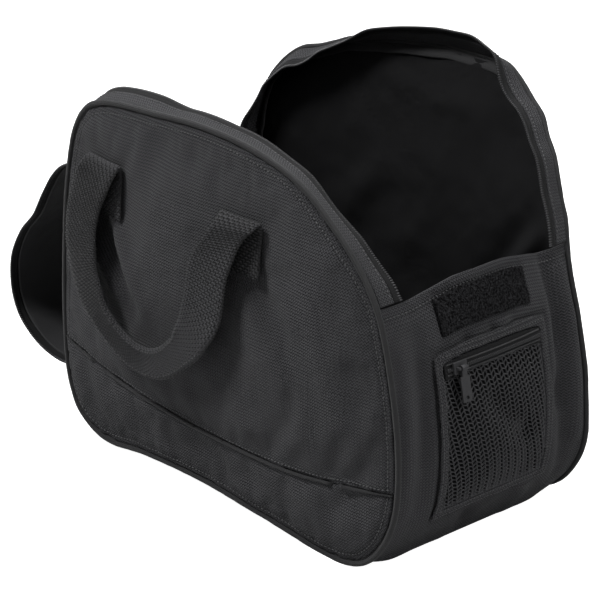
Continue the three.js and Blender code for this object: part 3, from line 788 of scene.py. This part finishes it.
def row_on(trees, away, route, pitch):
    """Frames at equal steps along a route of points, laid on the skins."""
    frames = []
    walked, due = 0.0, pitch / 2
    for a, b in zip(route, route[1:]):
        step = (b - a).length
        while step and due <= walked + step:
            found = on_skin(trees, away, a.lerp(b, (due - walked) / step))
            if found:
                point, out = found
                run = (b - a).normalized()
                run = (run - out * run.dot(out)).normalized()
                frames.append((point, run, out.cross(run), out))
            due += pitch
        walked += step
    return frames


def skin_stitches(name, trees, away, route):
    """A line of panel stitches along a route on the skins."""
    made = beads(name, row_on(trees, away, route, PANEL_PITCH), PANEL_STITCH, thread, 0.0003)


front_skins = [skins["front_panel"], skins["front_lower_panel"]]
for side_name, side in (("front", -1), ("back", 1)):
    line = lines[side]
    inset = []
    for i in range(0, len(line), 4):
        run = line[(i + 4) % len(line)] - line[i - 4]
        inset.append(line[i] + Vector((-run.z, 0, run.x)).normalized() * RIM_STITCH)
    trees, away = (front_skins, FRONT_AWAY) if side < 0 else ([skins["back_panel"]], BACK_AWAY)
    skin_stitches(side_name + "_rim_stitches", trees, away, inset + inset[:1])

# The front's cross seam: its upper and lower parts meet in a narrow sunk welt of piping cloth,
# and a line of stitches above it holds the turned edge down.
WELT_THICK, WELT_SUNK = 0.0013, 0.0004
STITCHED_ABOVE = 0.0042


def welted(u, v):
    """A point of the welt, which thins out towards its ends."""
    turn = 2 * math.pi * v
    thick = WELT_THICK * min(1, 8 * min(u, 1 - u) + 0.3)
    middle = curve_at(seam, u) + Vector((0, -WELT_SUNK, 0))
    return middle + thick * Vector((0, math.cos(turn), math.sin(turn)))


welt = bent_grid(
    "cross_seam_welt", 160, 8, lambda u, v: (u * 0.37, v * 0.008), welted, piping_cloth,
    weld=WELD, capped=True,
)
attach(welt, "bag")
raised_seam = [point + Vector((0, 0, STITCHED_ABOVE)) for point in seam[1:-1]]
skin_stitches("cross_seam_stitches", front_skins, FRONT_AWAY, raised_seam)

# Inside, the raw edges of each panel and the gusset are bound together with a folded tape of
# cloth, which waves a little along the seam.
BOUND_WIDE, BOUND_THICK, BOUND_WAVE = 0.0052, 0.0016, 0.0011
BOUND_IN, BOUND_DOWN = 0.0052, 0.0032
for side_name, side in (("front", -1), ("back", 1)):

    def bound_over(u, v):
        middle = curve_at(rings[side], u, True)
        run = way_round(rings[side], u, 0.003)
        inward = Vector((-run.z, 0, run.x)).normalized()
        into = Vector((0, -side, 0))
        wide = (inward + into).normalized()
        flat = wide.cross(run).normalized()
        wave = BOUND_WAVE * noise.noise(middle * 60 + Vector((9, 0, 0)))
        at = middle + inward * BOUND_IN + into * BOUND_DOWN + flat * wave
        turn = 2 * math.pi * v
        return at + wide * (BOUND_WIDE * math.cos(turn)) + flat * (BOUND_THICK * math.sin(turn))

    bound = bent_grid(
        side_name + "_seam_binding", 420, 10, lambda u, v: (u * 1.2, v * 0.02), bound_over,
        piping_cloth, weld=WELD,
    )
    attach(bound, "bag")

# The gusset's hem: its top edge at the pocket end is turned in once and held by one line of
# stitches across.
HEM_STITCH, HEM_STITCHES = (0.0025, 0.0009, 0.0009), 56
hem_frames = []
for i in range(HEM_STITCHES):
    v = 0.02 + 0.96 * (i + 0.5) / HEM_STITCHES
    point, run, side, out = strip_frame(gusset_rows, HEM_TURN / gusset_length, v)
    hem_frames.append((point, side, run, out * GUSSET_OUT))
hem_stitches = beads("hem_stitches", hem_frames, HEM_STITCH, thread, 0.0014)

# Bands and main zip: a turned strip of cloth along each panel's upper edge, with a stitched edge,
# and a zip half whose coil stands on the free edge of its tape.
TAPE_BLACK = (0.009, 0.009, 0.0095, 1)
COIL_BLACK = (0.032, 0.032, 0.034, 1)
COIL_BEAD, COIL_PITCH = (0.0015, 0.0036, 0.0028), 0.0019
BAND_WIDE, BAND_WALL = 0.014, 0.0018
TAPE_WIDE, TAPE_WALL = 0.008, 0.0009
zip_tape = woven("zip_tape", TAPE_BLACK, 0.0007, 0.00015, 0.4, 0.8, 0.03, 0.12)
coil = woven("zip_coil", COIL_BLACK, 0.0005, 0.00003, 0.2, 0.38, 0.0, 0.35)
HINGE = (-0.189, 0, 0.2135)


def wavy(size, scale, seed):
    """How a strip waves out of flat."""
    return lambda point, u, v: size * noise.noise(point * scale + Vector((seed, 0, 0)))


def edge_towards(rows, way):
    """Whether a strip's last column is the one that lies towards +Y or -Y."""
    return (rows[40][-1][0] - rows[40][0][0]).y * way > 0


def zip_half(node, start, count, along, wave, way):
    """Half a zip: its tape, and its coil on the edge that lies towards +Y or -Y."""
    rows, length = even_rows(strip_rows(node, 3, start, 1), count)
    tape = cloth_strip(
        node + "_tape", rows, length, TAPE_WIDE, along, 4, TAPE_WALL, wave, zip_tape, zip_tape
    )
    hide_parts(node)
    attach(tape, "bag")
    free = 0.84 if edge_towards(rows, way) else 0.16
    frames = row_along(rows, 0, 1, int(length / COIL_PITCH), free)
    teeth = beads(node + "_coil", frames, COIL_BEAD, coil)


for side_name, side in (("front", -1), ("back", 1)):
    start = (HINGE[0], side * 0.1, HINGE[2])
    rows, length = even_rows(strip_rows(side_name + "_band", 1, start, 1), 80)
    band = cloth_strip(
        side_name + "_band_cloth", rows, length, BAND_WIDE, 260, 8, BAND_WALL,
        wavy(0.0004, 38, side), outer_cloth, outer_cloth,
    )
    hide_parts(side_name + "_band")
    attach(band, "bag")
    shift = 0.0011 if strip_frame(rows, 0.5, 0.5)[3].z > 0 else -0.0011
    edge = 0.8 if edge_towards(rows, -side) else 0.2
    frames = row_along(rows, 0.01, 0.99, int((0.99 - 0.01) * length / FINE_PITCH), edge)
    line = beads(side_name + "_band_stitches", frames, FINE_STITCH, thread, shift)
    zip_half(side_name + "_zip", start, 80, 220, wavy(0.0003, 40, side), -side)

# Lid: a strip of smooth coated cloth with zip halves on both sides and a tab on its end. It is
# thrown back over the hinge end and curls under its own stiffness.
LID_BLACK = (0.023, 0.023, 0.0242, 1)
LID_WALL = 0.0028
LID_ROOT = (-0.189, 0, 0.214)
LID_DENT = (0.0024, 0.105, 0.022)
lid_cloth = woven("lid_cloth", LID_BLACK, 0.0006, 0.00008, 0.25, 0.55, 0.0, 0.14)
lid_rows, lid_length = even_rows(strip_rows("lid", 1, LID_ROOT, 1), 90)


def slack_lid(point, u, v):
    """How far the lid's cloth stands out: soft waves, and one dent across its curl."""
    push = 0.0014 * noise.noise(point * 24 + Vector((0, 4, 0))) + 0.0004 * noise.noise(point * 70)
    if point.x < -0.25:
        depth, height, width = LID_DENT
        off = (point.z - height) / width
        push -= depth * math.exp(-off * off) * math.sin(math.pi * v)
    return push * min(1, min(v, 1 - v) / 0.06 + 0.15)


lid = cloth_strip(
    "lid_strip", lid_rows, lid_length, 0.138, 240, 56, LID_WALL, slack_lid, lid_cloth, lid_cloth
)
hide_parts("lid")
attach(lid, "bag")
tab_start = sum((point for point, _ in lid_rows[-1]), Vector()) / 2
tab_rows, tab_length = even_rows(strip_rows("lid_tab", 1, tab_start, 1), 30)
tab = cloth_strip(
    "lid_tab_strip", tab_rows, tab_length, 0.11, 40, 40, LID_WALL,
    wavy(0.0003, 60, 5), lid_cloth, lid_cloth,
)
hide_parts("lid_tab")
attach(tab, "bag")
for side_name, side in (("front", -1), ("back", 1)):
    start = (LID_ROOT[0], side * 0.073, LID_ROOT[2])
    zip_half(f"lid_{side_name}_zip", start, 90, 240, wavy(0.0002, 40, side), side)

# Hinge binding: where the lid, the bands and the gusset meet at the hinge end, their edges are
# bound together with a rolled strip of piping cloth.
HINGE_THICK, HINGE_UP = 0.0027, 0.0014


def rolled(u, v):
    """A point of the roll over the gusset's last row."""
    turn = 2 * math.pi * v
    middle = strip_at(gusset_rows, 1, 0.01 + 0.98 * u) + Vector((0, 0, HINGE_UP))
    return middle + HINGE_THICK * Vector((math.cos(turn), 0, math.sin(turn)))


hinge = bent_grid(
    "hinge_binding", 60, 10, lambda u, v: ((u - 0.5) * 0.2, (v - 0.5) * 0.017), rolled,
    piping_cloth, weld=WELD, capped=True,
)
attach(hinge, "bag")

# Handles: ribbed webbing sewn flat on the panel, folded over and hanging in a loop, with the grip
# doubled and edge-stitched.
RIB, RIB_DEEP = 0.0024, 0.0006
SELVEDGE = 0.0002
WEBBING_BLACK = (0.0145, 0.0145, 0.0158, 1)
SEWN_OUT, SEWN_UP = 0.1155, 0.2117
GRIP = (0.36, 0.66)
# The webbing's strong contrast paints light and shade on its weave: painted highlight on the raised
# threads and ribs, painted shade in the gaps between them.
webbing = woven("webbing", WEBBING_BLACK, RIB, 0.0014, 4.0, 0.65, 0.05, 0.25)


def webbing_section(across):
    """Round a strap's section: each point's share across, and its face, where 0 is an edge."""
    shares = [-1 + 2 * k / across for k in range(across + 1)]
    top, under = [(share, 1) for share in shares], [(-share, -1) for share in shares]
    return top + [(1, 0)] + under + [(-1, 0), (-1, 1)]


def webbing_strap(name, rows, length):
    """A strap along the rows, with ribs across it and a firm edge."""
    along, section = int(length / RIB * 4), webbing_section(8)
    frames = {}

    def ribbed(u, v):
        key = round(u * along)
        if key not in frames:
            row_at = u * (len(rows) - 1)
            i = min(int(row_at), len(rows) - 2)
            wall = rows[i][1][1] + (rows[i + 1][1][1] - rows[i][1][1]) * (row_at - i)
            normal = strip_frame(rows, u, 0.5)[3]
            frames[key] = (strip_at(rows, u, 0), strip_at(rows, u, 1), normal, wall)
        first, last, normal, wall = frames[key]
        share, face = section[round(v * (len(section) - 1))]
        point = first.lerp(last, 0.5 + 0.5 * share)
        if face == 0:
            point += (last - first).normalized() * share * wall * 0.35
        rib = RIB_DEEP * math.cos(2 * math.pi * u * length / RIB)
        firm = SELVEDGE if abs(share) > 0.7 else 0
        return point + normal * face * (wall / 2 - 0.0002 + rib + firm)

    return bent_grid(
        name, along, len(section) - 1, lambda u, v: (u * length, v * 0.09), ribbed, webbing,
        weld=1e-6, capped=True,
    )


for node, side in (("front_handle", -1), ("back_handle", 1)):
    rows = strip_rows(node, 2, (HANDLE_ENDS[0], side * SEWN_OUT, SEWN_UP), 0, 0.1)
    rows, length = even_rows(rows, 110)
    strap = webbing_strap(node + "_strap", rows, length)
    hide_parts(node)
    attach(strap, "bag")
    out = 1 if strip_frame(rows, 0.5, 0.5)[3].y * side > 0 else -1
    for edge_name, v in (("outer", 0.1), ("inner", 0.9)):
        frames = [
            (point, run, across, normal * out)
            for point, run, across, normal in row_along(rows, GRIP[0], GRIP[1], 40, v)
        ]
        line = beads(f"{node}_{edge_name}_stitches", frames, FINE_STITCH, thread, 0.0027)

# Pocket: a net panel bound with a turned strip of the outer cloth, which is stitched twice round.
# Behind the net lies a dark sheet of lining cloth as painted shade, so the net's holes look dark.
# A coil zip lies in its top edge.
NET_BLACK = (0.046, 0.046, 0.049, 1)
NET_CELLS, NET_TURN, NET_STRAND = 56, 14, 0.0014
NET_SPARE = 0.56
# A dark sheet of painted shade lies behind the net: its wall, how far it lies under the net, and its
# sag.
SHADE_SHEET_THICK, SHADE_SHEET_UNDER, SHADE_SHEET_SAG = 0.0006, 0.0011, 0.0016
BOUND_STITCH = (0.0025, 0.0008, 0.0008)
ZIP_FOLD = 0.0038
DENTS = (
    # from y, z, to y, z, depth, width, in metres
    ("middle dent", -0.010, 0.130, 0.022, 0.096, -0.0038, 0.011),
    ("right fold", 0.026, 0.100, 0.030, 0.062, -0.0015, 0.006),
    ("lower swell", -0.020, 0.085, -0.010, 0.060, 0.0008, 0.014),
)
net_cord = woven("net_cord", NET_BLACK, 0.0004, 0.00008, 0.3, 0.6, 0.08, 0.2)

work = relaxed("pocket_binding", 0.001, 3)
for vert in work.verts:
    push = 0.0006 * noise.noise(vert.co * 120) + 0.0004 * noise.noise(vert.co * 45)
    vert.co += vert.normal * push
work.normal_update()
lay_weave(work)
binding_skin = bvhtree.BVHTree.FromBMesh(work)
binding = finished("pocket_binding_cloth", work, outer_cloth)
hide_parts("pocket_binding")
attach(binding, "bag")

low, high = (Vector(corner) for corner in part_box("pocket_binding"))
for name, inset in (("outer", 0.0022), ("inner", 0.0062)):
    y0, y1, z0, z1 = low.y + inset, high.y - inset, low.z + inset, high.z - inset
    corners = ((y0, z0), (y1, z0), (y1, z1), (y0, z1), (y0, z0))
    route = [Vector((high.x, y, z)) for y, z in corners]
    frames = row_on([binding_skin], END_AWAY, route, FINE_PITCH)
    line = beads(f"pocket_{name}_stitches", frames, BOUND_STITCH, thread, 0.0001)

low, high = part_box("pocket_net")
net_rows = strip_rows("pocket_net", 7, (high.x, 0, high.z), 1)


def on_net(u, v, sunk=0):
    """A point of the slack, dented net, or one sunk under it."""
    point, _, _, normal = strip_frame(net_rows, u, v)
    if normal.x < 0:
        normal = -normal
    push = 0.0005 * noise.noise(point * 60)
    for _, y0, z0, y1, z1, depth, width in DENTS:
        push += depth * line_fall(point.y, point.z, y0, z0, y1, z1, width)[1]
    push *= min(1, 1.3 * math.sin(math.pi * u) * math.sin(math.pi * v))
    return point + normal * (push - sunk)


work = bmesh.new()
bmesh.ops.create_grid(work, x_segments=NET_CELLS, y_segments=NET_CELLS, size=1)
cell = 2 / NET_CELLS
for vert in work.verts:
    vert.co.x += cell / 2 * (round((vert.co.y + 1) / cell) % 2)
askew = Matrix.Rotation(math.radians(NET_TURN), 3, "Z")
bmesh.ops.rotate(work, verts=work.verts, cent=(0, 0, 0), matrix=askew)
gone = [v for v in work.verts if abs(v.co.x) > NET_SPARE or abs(v.co.y) > NET_SPARE]
bmesh.ops.delete(work, geom=gone, context="VERTS")
work.loops.layers.uv.new("weave")
for vert in work.verts:
    vert.co = on_net(min(max(vert.co.x + 0.5, 0.0), 1.0), min(max(vert.co.y + 0.5, 0.0), 1.0))
bmesh.ops.dissolve_degenerate(work, edges=work.edges, dist=1e-5)
net = finished("pocket_net_mesh", work, net_cord)
strands = net.modifiers.new("strands", "WIREFRAME")
strands.thickness = NET_STRAND
strands.use_even_offset = False
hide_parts("pocket_net")
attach(net, "bag")


def behind_net(u, v):
    """A point of the dark sheet of painted shade, which sags away from the net in the middle."""
    return on_net(u, v, SHADE_SHEET_UNDER + SHADE_SHEET_SAG * math.sin(math.pi * u) * math.sin(math.pi * v))


# A dark sheet in the lining cloth, behind the net: painted shade inside the pocket.
shade_sheet = bent_grid(
    "pocket_shade_sheet", 40, 40, lambda u, v: ((u - 0.5) * 0.1, (v - 0.5) * 0.1), behind_net, lining
)
shade_sheet.modifiers.new("wall", "SOLIDIFY").thickness = SHADE_SHEET_THICK
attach(shade_sheet, "bag")

work = relaxed("pocket_zip", 0.0008, 2)
lay_weave(work)
zip_skin = bvhtree.BVHTree.FromBMesh(work)
pocket_tape = finished("pocket_zip_tape", work, zip_tape)
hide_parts("pocket_zip")
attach(pocket_tape, "bag")
low, high = (Vector(corner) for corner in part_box("pocket_zip"))
middle = (low.z + high.z) / 2
for name, up, pitch, size in (
    ("coil", 0.0, 0.0018, (0.0014, 0.0034, 0.0022)),
    ("upper_fold", ZIP_FOLD, 0.0009, (0.0016, 0.0013, 0.0016)),
    ("lower_fold", -ZIP_FOLD, 0.0009, (0.0016, 0.0013, 0.0016)),
):
    ends = [Vector((high.x, y, middle + up)) for y in (low.y + 0.002, high.y - 0.002)]
    row = beads("pocket_zip_" + name, row_on([zip_skin], END_AWAY, ends, pitch), size, coil, 0.0002)

# Hook and loop: a patch of fuzzy black loops sewn on above the pocket, and its hook half inside
# the lid's tab. Both are knitted, with a rough napped face.
FUZZ_BLACK = (0.0125, 0.0125, 0.0134, 1)
FUZZ_GRAIN, FUZZ_DEEP = 620, 0.0012
fuzz, tree, shader = bare("fuzzy_loops")
loops = reckon(tree, "MULTIPLY_ADD", grain(tree, FUZZ_GRAIN, 3), 2.6, -0.75)
tinted(tree, shader, FUZZ_BLACK, 2.2, loops)
raised(tree, shader, loops, FUZZ_DEEP)
shader.inputs["Roughness"].default_value = 1.0
shader.inputs["Specular IOR Level"].default_value = 0.06
for node in ("loop_patch", "hook_patch"):
    work = relaxed(node, 0.0008, 1)
    for vert in work.verts:
        nap = 0.00045 * noise.noise(vert.co * 900) + 0.0002 * noise.noise(vert.co * 300)
        vert.co += vert.normal * nap
    lay_weave(work)
    patch = finished(node + "_fuzz", work, fuzz)
    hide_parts(node)
    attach(patch, "bag")

# Sliders and pull: die-cast metal with rounded edges, painted satin black. The pocket's pull
# hangs from its slider's bridge and swings on it.
PAINT_BLACK = (0.055, 0.055, 0.058, 1)
PAINT_GRAIN = 420
CAST_EDGE = 0.0003
paint, tree, shader = bare("black_paint")
shader.inputs["Metallic"].default_value = 0.75
specks = grain(tree, PAINT_GRAIN)
tinted(tree, shader, PAINT_BLACK, 0.6, specks)
tree.links.new(reckon(tree, "MULTIPLY_ADD", specks, 0.3), shader.inputs["Roughness"])
for node in ("pocket_slider", "pocket_pull", "main_slider_front", "main_slider_back"):
    cast = finished(node + "_cast", merged(node), paint)
    round_off = cast.modifiers.new("rounded", "BEVEL")
    round_off.width = CAST_EDGE
    round_off.segments = 2
    round_off.limit_method = "ANGLE"
    round_off.angle_limit = math.radians(50)
    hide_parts(node)
    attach(cast, "pocket_pull" if node == "pocket_pull" else "bag")
